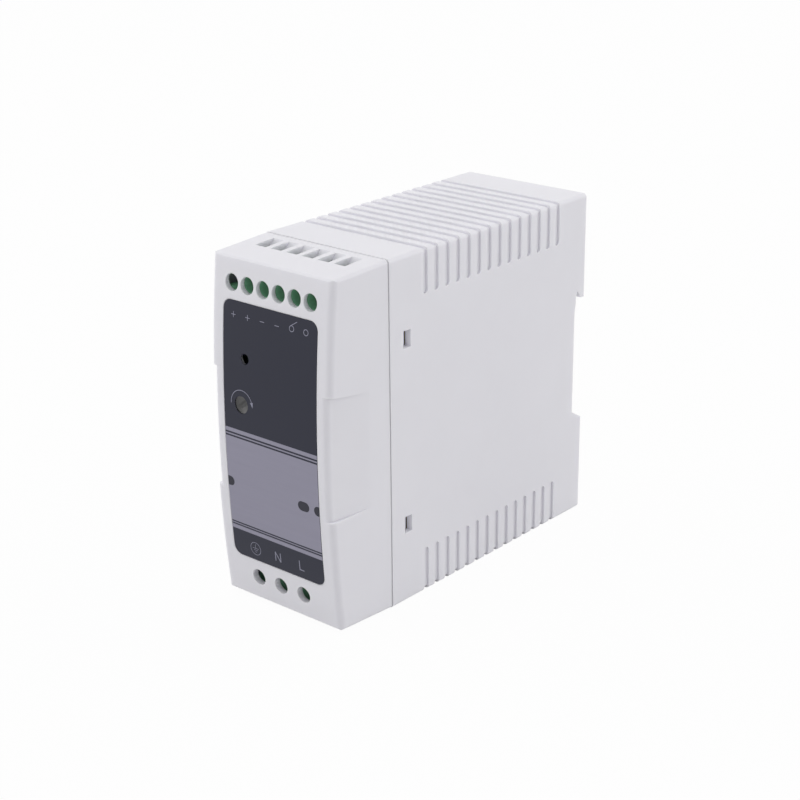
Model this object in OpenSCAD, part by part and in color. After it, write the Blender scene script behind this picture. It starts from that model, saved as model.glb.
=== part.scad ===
// DIN rail power supply: a vented rear housing, a bow-fronted snap cover, two rows of
// rising-cage screw terminals, a sprung rail latch and the parts on its boards.
// Millimetres. The origin is the middle of the base, +Z is up and the front faces -Y.

/* [Body] */
// Width across the rail
body_w = 40; // [36:1:60]
// Height from the base to the top
body_h = 90; // [84:1:120]
// Depth from the middle of the front to the rear face
body_d = 100; // [96:1:130]
// Wall thickness of the housing and the cover
wall = 1.8; // [1.4:0.1:2.2]
// Radius along the four long edges
edge_r = 1.1; // [0.8:0.1:2]
// Clearance between fixed pieces that fit into one another
fit_gap = 0.15; // [0.1:0.05:0.3]

/* [Front cover] */
// Depth of the cover from the front to the seam
cover_d = 20.6; // [18:0.1:26]
// Open gap at the seam
seam_gap = 0.3; // [0.1:0.05:0.5]
// Radius of the bow of the front
bow_r = 375; // [250:5:800]
// Fall of the top and bottom faces towards the front
cover_draft = 0.9; // [0.4:0.1:1.5]
// Fall of each side face towards the front
cover_side_draft = 0.35; // [0.1:0.05:0.8]
// Step from the housing's outside down to the cover's
cover_step = 0.1; // [0.05:0.05:0.3]
// Radius of the top and bottom front edges
nose_r = 0.9; // [0.6:0.1:2.5]
// Radius of the upright front edges
front_edge_r = 1.7; // [1:0.1:2.5]
// Depth of the finger recess at the front
grip_depth = 0.95; // [0.4:0.05:1]
// Length of the finger recess from the front
grip_len = 12.5; // [8:0.5:15]
// Height of the recess's upper end above the cover's middle, at the front
grip_above = 16.5; // [10:0.1:20]
// Depth of the recess's lower end below the cover's middle
grip_below = 15; // [10:0.1:20]
// Fall of the recess's upper end towards the rear
grip_fall = 1.9; // [0:0.1:4]
// Depth that the cover's lip reaches into the housing
lip_len = 2; // [1:0.1:2.1]
// Thickness of the lip and of the snap tongues
lip_t = 1; // [0.8:0.1:1.2]

/* [Snap catches] */
// Height of each snap window above or below the middle
snap_z = 24.1; // [20:0.1:26]
// Height of a snap window
snap_h = 4.4; // [3:0.1:6]
// Length of a snap window
snap_len = 2.8; // [2:0.1:4]
// Distance from the seam to a snap window
snap_start = 5; // [4:0.1:7]
// Reach of a barb into its window
snap_barb = 1.2; // [0.8:0.1:1.3]

/* [Vents] */
// Number of grooves along the top and along the bottom
vent_count = 14; // [6:1:14]
// Pitch of the grooves
vent_pitch = 4.1; // [3.5:0.1:4.1]
// Width of a groove
vent_w = 1.9; // [1.2:0.1:2.4]
// Depth of a groove
vent_depth = 0.6; // [0.3:0.1:1]
// Distance from the front to the middle of the first groove
vent_first = 33.9; // [32:0.1:36]
// Length of the upper grooves down the sides
vent_drop = 10.4; // [6:0.1:14]
// Length of the lower grooves up the sides
vent_rise = 11; // [6:0.1:14]
// Width of the open slot in the floor of a groove
vent_slot_w = 1; // [0.6:0.1:1.5]
// Distance from the front side of a groove to its slot
vent_ledge = 0.2; // [0.1:0.1:0.4]
// Width of the web in the middle of each slot
vent_web = 2.2; // [1.5:0.1:4]
// Distance from the middle to the outer end of each slot
vent_reach = 12.2; // [8:0.1:12.2]

/* [Rail mount] */
// Height of the mounting rail
rail_h = 35; // [35:0.1:35]
// Thickness of the rail's flanges
rail_t = 1; // [1:0.1:1.5]
// Height of the rail's lower edge above the base
rail_z = 28.9; // [26:0.1:32]
// Distance from the rear face in to the rail's seat
rail_seat = 4.05; // [4:0.05:4.5]
// Overlap of the fixed hook in front of the rail's upper flange
hook_overlap = 2.2; // [1.5:0.1:2.6]
// Overlap of the latch nose in front of the rail's lower flange
nose_overlap = 2; // [1.5:0.1:2.5]

/* [Latch] */
// Width of the latch
latch_w = 16; // [12:0.5:20]
// Width of the guide flange on each side of the latch
flange_w = 1.85; // [1.2:0.05:2.5]
// Thickness of the guide flanges
flange_t = 2; // [1.4:0.1:2.4]
// Clearance of the latch in its channel
slide_gap = 0.2; // [0.1:0.05:0.3]
// Travel of the latch
latch_travel = 4; // [3:0.5:5]
// Height of the latch's lower end above the base
latch_lift = 0.6; // [0.3:0.1:1]
// Height of the stop tab above the base
tab_z = 8.3; // [7.5:0.1:10]
// Thickness of the stop tab
tab_t = 1.5; // [1.2:0.1:2]
// Width of the window round the stop tab and spring
latch_window_w = 6.4; // [5.5:0.1:8]

/* [Latch spring] */
// Wire diameter of the spring
spring_wire = 0.5; // [0.4:0.05:0.6]
// Mean diameter of the coil
spring_d = 2.6; // [2.4:0.1:3]
// Number of turns
spring_turns = 8; // [6:1:9]
// Travel left in the spring when the latch is at its lower end
spring_slack = 3.2; // [2:0.1:4]

/* [Terminals] */
// Number of output terminals, along the top
out_poles = 6; // [4:1:6]
// Pitch of the output terminals
out_pitch = 5.08; // [5.08:0.01:5.2]
// Number of input terminals, along the bottom
in_poles = 3; // [2:1:3]
// Pitch of the input terminals
in_pitch = 7.62; // [7.62:0.01:8]
// Distance of the screw axes from the top and from the base
axis_edge = 7.15; // [7.1:0.05:8]
// Diameter of the screwdriver holes in the cover
driver_d = 4.3; // [4:0.1:4.6]
// Width of a wire slot in the cover
wire_slot_w = 3.5; // [3:0.1:3.8]
// Length of a wire slot in the cover
wire_slot_d = 5.7; // [4:0.1:5.8]
// Lean of the rear side of a wire slot through the wall
wire_slot_lean = 1.6; // [0.6:0.1:1.8]
// Diameter of a terminal screw's head
head_d = 3.6; // [3.2:0.1:3.7]
// Height of a terminal screw's head
head_h = 1.9; // [1.4:0.1:2.2]
// Diameter of a terminal screw's shank
shank_d = 2.5; // [2:0.1:2.6]
// Radial clearance of the shank where it turns
turn_gap = 0.06; // [0.02:0.01:0.1]
// Outer width of a clamping cage
cage_w = 3.9; // [3.6:0.1:4]
// Length of a clamping cage along the wire
cage_len = 5; // [4:0.1:5.2]
// Thickness of the cage's side and rear walls
cage_t = 0.6; // [0.5:0.05:0.7]
// Thickness of the cage's threaded wall
collar_t = 1; // [0.8:0.1:1.2]
// Travel of a cage from open to closed
clamp_travel = 2.4; // [1.8:0.1:2.4]
// Thickness of a contact bar
bar_t = 0.8; // [0.6:0.1:0.9]
// Width of a contact bar
bar_w = 2.4; // [2:0.1:2.4]
// Width of the solder pins
pin_w = 1; // [0.8:0.1:1.2]

/* [Indicators] */
// Sideways place of the lamp
led_x = -8; // [-9:0.1:-6]
// Height of the lamp
led_z = 65; // [62:0.1:66]
// Diameter of the lamp's hole
led_hole_d = 2.5; // [2:0.1:3]
// Diameter of the lamp
led_d = 3; // [2.8:0.1:3]
// Sideways place of the voltage trimmer
trim_x = -9.4; // [-9.6:0.1:-7]
// Height of the voltage trimmer
trim_z = 53.2; // [50:0.1:56]
// Diameter of the trimmer's hole
trim_hole_d = 4.3; // [3.5:0.1:4.3]
// Diameter of the trimmer's rotor
rotor_d = 4.7; // [4.4:0.1:5]
// Diameter of the rotor's shaft
rotor_shaft_d = 3; // [2:0.1:3]
// Side of the trimmer's body
trim_side = 6.6; // [5:0.1:7]

/* [Front label] */
// Width of the label
label_w = 30.5; // [26:0.1:33]
// Height of the label
label_h = 66.7; // [60:0.1:68]
// Height of the label's lower edge above the base
label_z = 12; // [11:0.1:13]
// Corner radius of the label
label_r = 2.3; // [1:0.1:4]
// Thickness of the label
label_t = 0.15; // [0.1:0.01:0.2]
// Depth of the recess that holds the label
label_recess = 0.2; // [0.15:0.01:0.3]

/* [Boards] */
// Thickness of the boards
board_t = 1.6; // [1:0.1:1.7]
// Space between the side wall and the back of the main board
board_space = 2.6; // [2:0.1:3]
// Clearance between the main board's edges and the housing
board_gap = 0.3; // [0.2:0.05:0.5]
// Height of the guide ribs that hold the main board
guide_h = 2; // [1.5:0.1:3]
// Thickness of the guide ribs
guide_t = 1; // [0.8:0.1:1.2]
// Height of the terminal boards
terminal_board_h = 13; // [12:0.5:16]

/* [Hidden] */

$fn = 48;
// Facets of a full turn of the bow, which is a small part of a large circle
bow_fn = 720;
// Cutters run this far past the faces they cut
over = 1;

// Colours of the pieces
shell_white = [0.86, 0.86, 0.87];
label_grey = [0.25, 0.26, 0.30];
terminal_green = [0.20, 0.45, 0.28];
board_green = [0.16, 0.36, 0.20];
plated = [0.80, 0.80, 0.78];
tinned = [0.75, 0.72, 0.62];
ferrite = [0.20, 0.20, 0.21];
black_plastic = [0.10, 0.10, 0.11];
aluminium = [0.78, 0.79, 0.80];
copper = [0.72, 0.42, 0.20];

// Planes of the body
front_y = -body_d / 2;
rear_y = body_d / 2;
mid_z = body_h / 2;
seam_y = front_y + cover_d;
inner_w = body_w - 2 * wall;
inner_z = [wall, body_h - wall];
rail_seat_y = rear_y - rail_seat;
channel_floor_t = 1.6;
channel_y = rail_seat_y - 0.45;
cavity_y = channel_y - channel_floor_t;
rail_top = rail_z + rail_h;

// The bow: how far the front lies behind its own middle at a height
function bow_y(z) = front_y + bow_r - sqrt(bow_r * bow_r - (z - mid_z) * (z - mid_z));
cover_reach = cover_d + 6;
bow_half = asin((mid_z + 4) / (bow_r - cover_reach));
draft_angle = atan(cover_draft / cover_d);
side_slope = cover_side_draft / cover_d;
front_half = body_w / 2 - cover_step - cover_side_draft;

// Main board, upright along the left wall
board_x = -inner_w / 2 + board_space + board_t;
terminal_board_y = seam_y + seam_gap + 0.3;
board_y = [terminal_board_y + board_t, cavity_y - board_gap];
board_z = [inner_z[0] + board_gap, inner_z[1] - board_gap];
tongue_y = front_y + wall + 1.6;
tongue_z = [trim_z - 9, led_z + 4];

// Terminal stations, as depths behind the front along the screw axis
face_depth = bow_y(body_h - axis_edge) - front_y;
output_skin = 1.25;
output_front = face_depth + wall + 0.9;
output_rib = face_depth + output_skin + fit_gap;
input_front = face_depth + wall + 2.6;
block_back = terminal_board_y - front_y;
seat_gap = 0.05;
head_seat = 8.45;
pocket_front = 9.6;
slack = 0.1;
collar_open = pocket_front + slack + clamp_travel;
bar_front = collar_open + collar_t + slack;
bar_back = bar_front + bar_t;
jaw_open = bar_back + clamp_travel + 0.4;
cage_back = jaw_open + cage_t;
pocket_back = cage_back + slack;
pocket_gap = 0.2;
block_above = 4;
block_below = 6.4;
pin_drop = 5.5;
block_end = 0.36;
rib_end = 0.2;
rib_z = 2.9;
notch_z = 1.4;
wire_slot_start = pocket_back - wire_slot_d;

out_axis_z = body_h - axis_edge;
in_axis_z = axis_edge;
function pole_x(i, poles, pitch) = (i - (poles - 1) / 2) * pitch;

// Latch and spring
latch_y = [channel_y + slide_gap, rear_y - 0.4];
flange_y = latch_y[0] + flange_t;
nose_y = rail_seat_y + rail_t + 0.2;
latch_top = rail_z - 0.5;
spring_len = (spring_turns + 2) * spring_wire + latch_travel + spring_slack;
spring_top = tab_z + tab_t + spring_len + 2 * seat_gap;
window_z = [tab_z - slack, spring_top];
spring_y = (latch_y[0] + latch_y[1]) / 2;
spring_z = [tab_z + tab_t + seat_gap, spring_top - seat_gap];
tab_w = latch_window_w - 4 * slide_gap;
spigot_r = spring_d / 2 - spring_wire / 2 - 0.3;
spigot_h = 1.2;

// Helpers for shapes that lie along an axis
module along_y(y0, y1) {
    translate([0, y1, 0])
        rotate([90, 0, 0])
            linear_extrude(y1 - y0)
                children();
}

module along_x(x0, x1) {
    translate([x0, 0, 0])
        rotate([90, 0, 90])
            linear_extrude(x1 - x0)
                children();
}

module box(lo, hi) {
    translate(lo)
        cube(hi - lo);
}

module rod_y(y0, y1, x, z, r) {
    translate([x, y0, z])
        rotate([-90, 0, 0])
            cylinder(r = r, h = y1 - y0);
}

module both_sides() {
    children();
    mirror([1, 0, 0])
        children();
}

module rounded_rect(w, h, r) {
    square([w - 2 * r, h], center = true);
    square([w, h - 2 * r], center = true);
    for (x = [-1, 1], y = [-1, 1])
        translate([x * (w / 2 - r), y * (h / 2 - r)])
            circle(r);
}

// Outline of the housing seen from the front, drawn in by an inset
module body_outline(inset) {
    translate([0, mid_z])
        rounded_rect(body_w - 2 * inset, body_h - 2 * inset, max(edge_r - inset, 0.3));
}

// Rear housing: one moulded box, open at the seam
module rear_housing() {
    color(shell_white) {
        difference() {
            union() {
                difference() {
                    along_y(seam_y + seam_gap, rear_y)
                        body_outline(0);
                    housing_cavity();
                }
                board_guides();
            }
            rail_slot();
            vent_grooves();
            vent_slots();
            snap_windows();
            latch_channel();
        }
        stop_tab();
    }
}

// The hollow inside, with pockets that keep the rear blocks at wall thickness
module housing_cavity() {
    pocket_y = rear_y - wall;
    channel_half = latch_w / 2 + flange_w + 2 * slide_gap;
    box([-inner_w / 2, seam_y, inner_z[0]], [inner_w / 2, cavity_y, inner_z[1]]);
    box([-inner_w / 2, cavity_y - over, rail_top + wall + 0.5], [inner_w / 2, pocket_y, inner_z[1]]);
    both_sides()
        box([channel_half + wall, cavity_y - over, inner_z[0]],
            [inner_w / 2, pocket_y, rail_z - 2 * wall]);
}

// Pairs of ribs on the top and bottom walls that take the main board's edges
module board_guides() {
    start = board_y[0] + 1;
    for (x = [board_x - board_t - fit_gap - guide_t, board_x + fit_gap]) {
        box([x, start, inner_z[0] - wall / 2], [x + guide_t, cavity_y + wall / 2, inner_z[0] + guide_h]);
        box([x, start, inner_z[1] - guide_h], [x + guide_t, cavity_y + wall / 2, inner_z[1] + wall / 2]);
    }
}

// The rail's seat across the rear: fixed hook above, sloped lead-in below
module rail_slot() {
    hook_tip_z = rail_top - hook_overlap;
    apex_y = rail_seat_y + rail_t + 0.2;
    lead_in = 2.3;
    bump = 0.45;
    along_x(-body_w / 2 - over, body_w / 2 + over)
        polygon([
            [rear_y + over, hook_tip_z],
            [rear_y - 1.4, hook_tip_z + 0.1],
            [apex_y, rail_top],
            [rail_seat_y + 0.4, rail_top - 1.3],
            [rail_seat_y + bump, rail_top - 3.3],
            [rail_seat_y, rail_top - 5.8],
            [rail_seat_y, rail_z + 0.7],
            [rear_y - 0.1, rail_z + 0.7 - lead_in],
            [rear_y + over, rail_z + 0.7 - lead_in]
        ]);
}

// Grooves that wrap over the long edges and run down the sides to round ends
module vent_grooves() {
    span = (vent_count - 1) * vent_pitch;
    start_y = front_y + vent_first;
    intersection() {
        along_y(start_y - vent_w, start_y + span + vent_w)
            difference() {
                translate([0, mid_z])
                    square([body_w + 2 * over, body_h + 2 * over], center = true);
                body_outline(vent_depth);
            }
        along_x(-body_w / 2 - 2 * over, body_w / 2 + 2 * over)
            for (i = [0:vent_count - 1], side = [-1, 1])
                let (length = side > 0 ? vent_drop : vent_rise)
                    translate([start_y + i * vent_pitch, mid_z + side * (mid_z - length)]) {
                        circle(vent_w / 2);
                        translate([-vent_w / 2, side > 0 ? 0 : -length - 2 * over])
                            square([vent_w, length + 2 * over]);
                    }
    }
}

// Open slots in the floors of the grooves, each in two halves beside a web
module vent_slots() {
    for (i = [0:vent_count - 1]) {
        y = front_y + vent_first + i * vent_pitch - vent_w / 2 + vent_ledge;
        both_sides()
            box([vent_web / 2, y, -over], [vent_reach, y + vent_slot_w, body_h + over]);
    }
}

module snap_windows() {
    y = seam_y + snap_start;
    both_sides()
        for (side = [-1, 1])
            translate([0, 0, mid_z + side * snap_z])
                box([inner_w / 2 - over, y, -snap_h / 2], [body_w / 2 + over, y + snap_len, snap_h / 2]);
}

// Channel for the latch, open to the rear and below, with a groove down each side
module latch_channel() {
    half_w = latch_w / 2 + slide_gap;
    box([-half_w, channel_y, -over], [half_w, rear_y + over, rail_z + 2]);
    box([-half_w - flange_w, channel_y, -over], [half_w + flange_w, flange_y + slide_gap, rail_z + 2]);
}

// Tab through the latch's window: its stop below and the spring's seat above
module stop_tab() {
    box([-tab_w / 2, channel_y - channel_floor_t / 2, tab_z],
        [tab_w / 2, latch_y[1] - 0.4, tab_z + tab_t]);
    translate([0, spring_y, tab_z + tab_t / 2])
        cylinder(r = spigot_r, h = tab_t / 2 + spigot_h);
}

// Solid of the cover's outer form, drawn in by an inset: a bowed sweep, cut by
// leaning planes with round long edges above and below
module cover_form(inset) {
    intersection() {
        bow_sweep(inset);
        drafted_prism(inset);
        translate([0, 0, body_h])
            mirror([0, 0, 1])
                drafted_prism(inset);
    }
}

// The plan of the cover carried along the bow of the front
module bow_sweep(inset) {
    rear_half = front_half - inset + side_slope * cover_reach;
    corner = front_corner(inset, front_half - inset, max(front_edge_r - inset, 0.3));
    half_plan = concat(corner, [[bow_r - cover_reach, rear_half]]);
    other_half = [for (i = [len(half_plan) - 1:-1:0]) [half_plan[i].x, -half_plan[i].y]];
    turn_about_bow()
        polygon(concat(half_plan, other_half));
}

// Round from the front into a side, as plan points [radius, x]
function front_corner(inset, side_x, r) =
    [for (a = [0:10:90]) [bow_r - inset - r * (1 - cos(a)), side_x - r * (1 - sin(a))]];

// Turns a plan of [radius, x] about the axis of the bow
module turn_about_bow() {
    translate([0, front_y + bow_r, mid_z])
        rotate([0, 90, 0])
            rotate([0, 0, 270 - bow_half])
                rotate_extrude(angle = 2 * bow_half, $fn = bow_fn)
                    children();
}

// A shell that follows the bow between two depths behind the front
module bow_shell(depth0, depth1) {
    turn_about_bow()
        translate([bow_r - depth1, -body_w])
            square([depth1 - depth0, 2 * body_w]);
}

// Upright prism whose top leans down towards the front from the seam
module drafted_prism(inset) {
    tall = 2 * body_h;
    translate([0, seam_y, body_h - cover_step])
        rotate([draft_angle, 0, 0])
            along_y(-cover_d - 4, cover_reach - cover_d)
                translate([0, -inset - tall / 2])
                    rounded_rect(body_w - 2 * inset, tall, max(edge_r - inset, 0.3));
}

// Cutters that round the cover's top side edges, which draw in towards the front
module side_cutters() {
    bite = 0.03;
    seam_depth = bow_r - norm([front_y + bow_r - seam_y, body_h / 2]);
    side_x = front_half + side_slope * seam_depth;
    both_sides()
        translate([side_x, seam_y, body_h - cover_step])
            rotate([draft_angle, 0, -atan(side_slope)])
                along_y(-cover_d - 4, 1)
                    translate([bite - edge_r, bite - edge_r])
                        difference() {
                            square(edge_r + over);
                            circle(edge_r);
                        }
}

// Cutter that rounds the top front edge
module nose_cutter() {
    bite = 0.03;
    fall = cover_step + cover_draft * 0.85;
    z = body_h - fall - nose_r + bite;
    y = bow_y(z) + nose_r - bite;
    along_x(-body_w, body_w)
        difference() {
            translate([front_y - over, z])
                square([y - front_y + over, nose_r + fall + over]);
            translate([y, z])
                circle(nose_r);
        }
}

module edge_cutters() {
    nose_cutter();
    side_cutters();
}

// Front cover: bow-fronted shell with a lip and snap tongues behind the seam
module front_cover() {
    color(shell_white) {
        difference() {
            cover_form(0);
            cover_form(wall);
            box([-body_w, seam_y, -body_h], [body_w, rear_y, 2 * body_h]);
            edge_cutters();
            translate([0, 0, body_h])
                mirror([0, 0, 1])
                    edge_cutters();
            finger_recesses();
            driver_holes();
            wire_slots();
            output_pocket();
            rod_y(front_y - over, front_y + 3 * wall, led_x, led_z, lamp_window_d / 2);
            rod_y(front_y - over, front_y + 3 * wall, trim_x, trim_z, rotor_d / 2 + 2 * fit_gap);
            intersection() {
                bow_shell(-over, label_recess);
                label_block(fit_gap);
            }
        }
        cover_lip();
        both_sides()
            for (side = [-1, 1])
                snap_tongue(mid_z + side * snap_z);
    }
}

// Recesses in both sides, deepest at the front, with their own round into the front.
// Both ends are square steps, and the upper one falls towards the rear.
module finger_recesses() {
    floor_x = front_half - grip_depth;
    rise = grip_depth + grip_len * side_slope;
    top_z = mid_z + grip_above;
    low_z = mid_z - grip_below;
    both_sides()
        intersection() {
            turn_about_bow()
                polygon(concat(
                    [[bow_r + over, floor_x - front_edge_r]],
                    front_corner(0, floor_x, front_edge_r),
                    [[bow_r - 2 * grip_len, floor_x + 2 * rise], [bow_r + over, floor_x + 2 * rise]]
                ));
            along_x(0, body_w)
                polygon([
                    [front_y - grip_len, low_z],
                    [front_y + 2 * grip_len, low_z],
                    [front_y + 2 * grip_len, top_z - 2 * grip_fall],
                    [front_y - grip_len, top_z + grip_fall]
                ]);
        }
}

module driver_holes() {
    y0 = front_y - over;
    y1 = front_y + output_front;
    for (i = [0:out_poles - 1])
        rod_y(y0, y1, pole_x(i, out_poles, out_pitch), out_axis_z, driver_d / 2);
    for (i = [0:in_poles - 1])
        rod_y(y0, y1, pole_x(i, in_poles, in_pitch), in_axis_z, driver_d / 2);
}

// Pocket behind the output holes that takes the rib of the output block
module output_pocket() {
    half_w = out_poles * out_pitch / 2 + rib_end + fit_gap;
    half_h = rib_z + fit_gap;
    box([-half_w, front_y + face_depth + output_skin, out_axis_z - half_h],
        [half_w, front_y + output_front + over, out_axis_z + half_h]);
}

// Slots for the wires, above each output clamp and below each input clamp
module wire_slots() {
    for (i = [0:out_poles - 1])
        translate([pole_x(i, out_poles, out_pitch), 0, body_h])
            wire_slot();
    for (i = [0:in_poles - 1])
        translate([pole_x(i, in_poles, in_pitch), 0, 0])
            mirror([0, 0, 1])
                wire_slot();
}

// One slot through the wall below height 0, whose rear side leads the wire into the jaw
module wire_slot() {
    y0 = front_y + wire_slot_start;
    y1 = front_y + jaw_open;
    lean = wire_slot_lean / wall;
    along_x(-wire_slot_w / 2, wire_slot_w / 2)
        polygon([
            [y0, over],
            [y0, -axis_edge],
            [y1, -axis_edge],
            [y1, -wall],
            [y1 + lean * (wall + over), over]
        ]);
}

// Lip that closes the seam from inside and centres the cover in the housing
module cover_lip() {
    root = 2;
    bury = wall / 3;
    lip_w = inner_w - 2 * fit_gap;
    lip_h = inner_z[1] - inner_z[0] - 2 * fit_gap;
    difference() {
        union() {
            along_y(seam_y - root, seam_y - cover_step)
                translate([0, mid_z])
                    square([inner_w + 2 * bury, lip_h + 2 * bury], center = true);
            along_y(seam_y - root, seam_y + lip_len)
                translate([0, mid_z])
                    square([lip_w, lip_h], center = true);
        }
        along_y(seam_y - root - over, seam_y + lip_len + over)
            translate([0, mid_z])
                square([lip_w - 2 * lip_t, lip_h - 2 * lip_t], center = true);
    }
}

// Tongue with a barb that springs into a window of the housing
module snap_tongue(z) {
    outer_x = inner_w / 2 - fit_gap;
    y0 = seam_y - 1;
    barb_y = seam_y + snap_start + fit_gap;
    end_y = seam_y + snap_start + snap_len - fit_gap;
    half_h = snap_h / 2 - fit_gap;
    translate([0, 0, z - half_h])
        linear_extrude(2 * half_h)
            polygon([
                [outer_x - lip_t, y0],
                [outer_x, y0],
                [outer_x, barb_y],
                [outer_x + snap_barb, barb_y],
                [outer_x + snap_barb, barb_y + 0.4],
                [outer_x, end_y],
                [outer_x - lip_t, end_y]
            ]);
}

// Prism behind the label's outline, grown by a margin
module label_block(margin) {
    along_y(front_y - over, front_y + 4 * wall)
        translate([0, label_z + label_h / 2])
            rounded_rect(label_w + 2 * margin, label_h + 2 * margin, label_r + margin);
}

// Front label: a thin plate bent to the bow, lying in its recess
module front_label() {
    back = label_recess - 0.03;
    color(label_grey)
        difference() {
            intersection() {
                bow_shell(back - label_t, back);
                label_block(0);
            }
            rod_y(front_y - over, front_y + wall, led_x, led_z, led_hole_d / 2 + 0.05);
            rod_y(front_y - over, front_y + wall, trim_x, trim_z, trim_hole_d / 2 + 0.05);
        }
}

// Rail latch: a plate in the channel with a nose that holds the rail's lower flange
module din_latch() {
    half_w = latch_w / 2;
    nose_top = rail_z + nose_overlap;
    pull_z = [latch_lift + 1.6, latch_lift + 4.4];
    color(black_plastic)
        difference() {
            union() {
                box([-half_w, latch_y[0], latch_lift], [half_w, latch_y[1], latch_top]);
                box([-half_w - flange_w, latch_y[0], latch_lift],
                    [half_w + flange_w, flange_y, latch_top - 1.4]);
                along_x(-half_w, half_w)
                    polygon([
                        [nose_y, latch_top - 1],
                        [nose_y, nose_top],
                        [nose_y + 0.5, nose_top],
                        [latch_y[1], latch_top],
                        [latch_y[1], latch_top - 1]
                    ]);
            }
            difference() {
                box([-latch_window_w / 2, channel_y, window_z[0]],
                    [latch_window_w / 2, rear_y + over, window_z[1]]);
                translate([0, spring_y, window_z[1] - spigot_h])
                    cylinder(r = spigot_r, h = spigot_h + over);
            }
            box([-latch_window_w / 2, channel_y, pull_z[0]],
                [latch_window_w / 2, rear_y + over, pull_z[1]]);
        }
}

// Latch spring: one wire wound about the spigots, its ends upright on the seats
spring_sides = 6;
spring_steps = 8;
spring_rise = spring_z[1] - spring_z[0] - 2 * spring_wire;
spring_path = concat(
    [[spring_d / 2, 0, spring_z[0]]],
    [for (i = [0:spring_steps * spring_turns]) [
        spring_d / 2 * cos(360 * i / spring_steps),
        spring_d / 2 * sin(360 * i / spring_steps),
        spring_z[0] + spring_wire + spring_rise * i / (spring_steps * spring_turns)
    ]],
    [[spring_d / 2, 0, spring_z[1]]]
);
spring_gaps = [
    for (i = [0:len(spring_path) - 1], j = [i + spring_steps - 2:len(spring_path) - 1])
        if (j < len(spring_path)) norm(spring_path[j] - spring_path[i]) - spring_wire
];
echo(least_gap_between_spring_turns = min(spring_gaps));

function unit(v) = v / norm(v);
function spring_along(i) =
    i == 0 || i == len(spring_path) - 1
        ? [0, 0, 1]
        : unit(spring_path[i + 1] - spring_path[i - 1]);
function spring_ring(i) =
    let (
        along = spring_along(i),
        out = unit([spring_path[i].x, spring_path[i].y, 0]),
        side = unit(cross(along, out)),
        up = cross(side, along)
    )
    [for (k = [0:spring_sides - 1])
        let (a = 360 * k / spring_sides)
        spring_path[i] + spring_wire / 2 * (cos(a) * up + sin(a) * side)];

module latch_spring() {
    n = spring_sides;
    last = len(spring_path) - 1;
    points = [for (i = [0:last]) each spring_ring(i)];
    sides = [for (i = [0:last - 1], k = [0:n - 1])
        let (a = i * n + k, b = i * n + (k + 1) % n)
        each [[a, a + n, b], [b, a + n, b + n]]];
    caps = [for (k = [1:n - 2])
        each [[0, k, k + 1], [last * n, last * n + k + 1, last * n + k]]];
    color(plated)
        translate([0, spring_y, 0])
            polyhedron(points, concat(sides, caps));
}

// One terminal row, drawn with its screw axes at height 0 and its wires coming from above
module at_output() {
    translate([0, front_y, out_axis_z])
        children();
}

module at_input() {
    translate([0, front_y, in_axis_z])
        mirror([0, 0, 1])
            children();
}

// Block of one row: a driver tunnel, a cage pocket, a wire entry and a pin slot for each pole.
// It starts at a depth behind the front, and a rib runs forward from there to another one.
// Beside the rib, a notch opens the first tunnel at the end of the block.
module terminal_body(poles, pitch, front, rib_front) {
    half_w = poles * pitch / 2 + block_end;
    rib_half = poles * pitch / 2 + rib_end;
    tunnel_r = driver_d / 2 - 0.05;
    pocket_w = cage_w / 2 + pocket_gap;
    pocket_z = cage_len / 2 + pocket_gap;
    slot_w = bar_w / 2 + seat_gap;
    color(terminal_green)
        difference() {
            union() {
                box([-half_w, front, -block_below], [half_w, block_back, block_above]);
                box([-rib_half, rib_front, -rib_z], [rib_half, front + over, rib_z]);
            }
            for (i = [0:poles - 1])
                translate([pole_x(i, poles, pitch), 0, 0]) {
                    rod_y(rib_front - over, head_seat, 0, 0, tunnel_r);
                    rod_y(head_seat - over, pocket_front + over, 0, 0, shank_d / 2 + turn_gap);
                    box([-pocket_w, pocket_front, -pocket_z], [pocket_w, pocket_back, pocket_z]);
                    box([-wire_slot_w / 2, bar_back - slack, 0],
                        [wire_slot_w / 2, pocket_back, block_above + over]);
                    box([-slot_w, bar_front - seat_gap, -pin_drop - seat_gap],
                        [slot_w, bar_back + seat_gap, 0]);
                    box([-pin_w / 2 - seat_gap, bar_back, -pin_drop - seat_gap],
                        [pin_w / 2 + seat_gap, block_back + over, -pin_drop + pin_w + seat_gap]);
                }
            if (rib_front < front)
                box([-half_w - over, rib_front - over, -notch_z],
                    [pole_x(0, poles, pitch), head_seat - head_h, notch_z]);
        }
}

// Contact bars of one row: a strip through each cage, with a pin back through the board
module contact_bars(poles, pitch) {
    color(tinned)
        for (i = [0:poles - 1])
            translate([pole_x(i, poles, pitch), 0, 0]) {
                box([-bar_w / 2, bar_front, -pin_drop], [bar_w / 2, bar_back, cage_len / 2]);
                box([-pin_w / 2, bar_back - bar_t / 2, -pin_drop],
                    [pin_w / 2, block_back + board_t + 1, -pin_drop + pin_w]);
            }
}

// Terminal screw: a slotted head that stays in its tunnel, tip against the contact bar
module terminal_screw(x) {
    head_back = head_seat - seat_gap;
    slot_w = 0.6;
    slot_depth = 0.9;
    color(plated)
        translate([x, 0, 0])
            difference() {
                union() {
                    rod_y(head_back - head_h, head_back, 0, 0, head_d / 2);
                    rod_y(head_back - head_h / 2, bar_front - seat_gap, 0, 0, shank_d / 2);
                }
                box([-head_d, head_back - head_h - over, -slot_w / 2],
                    [head_d, head_back - head_h + slot_depth, slot_w / 2]);
            }
}

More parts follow.
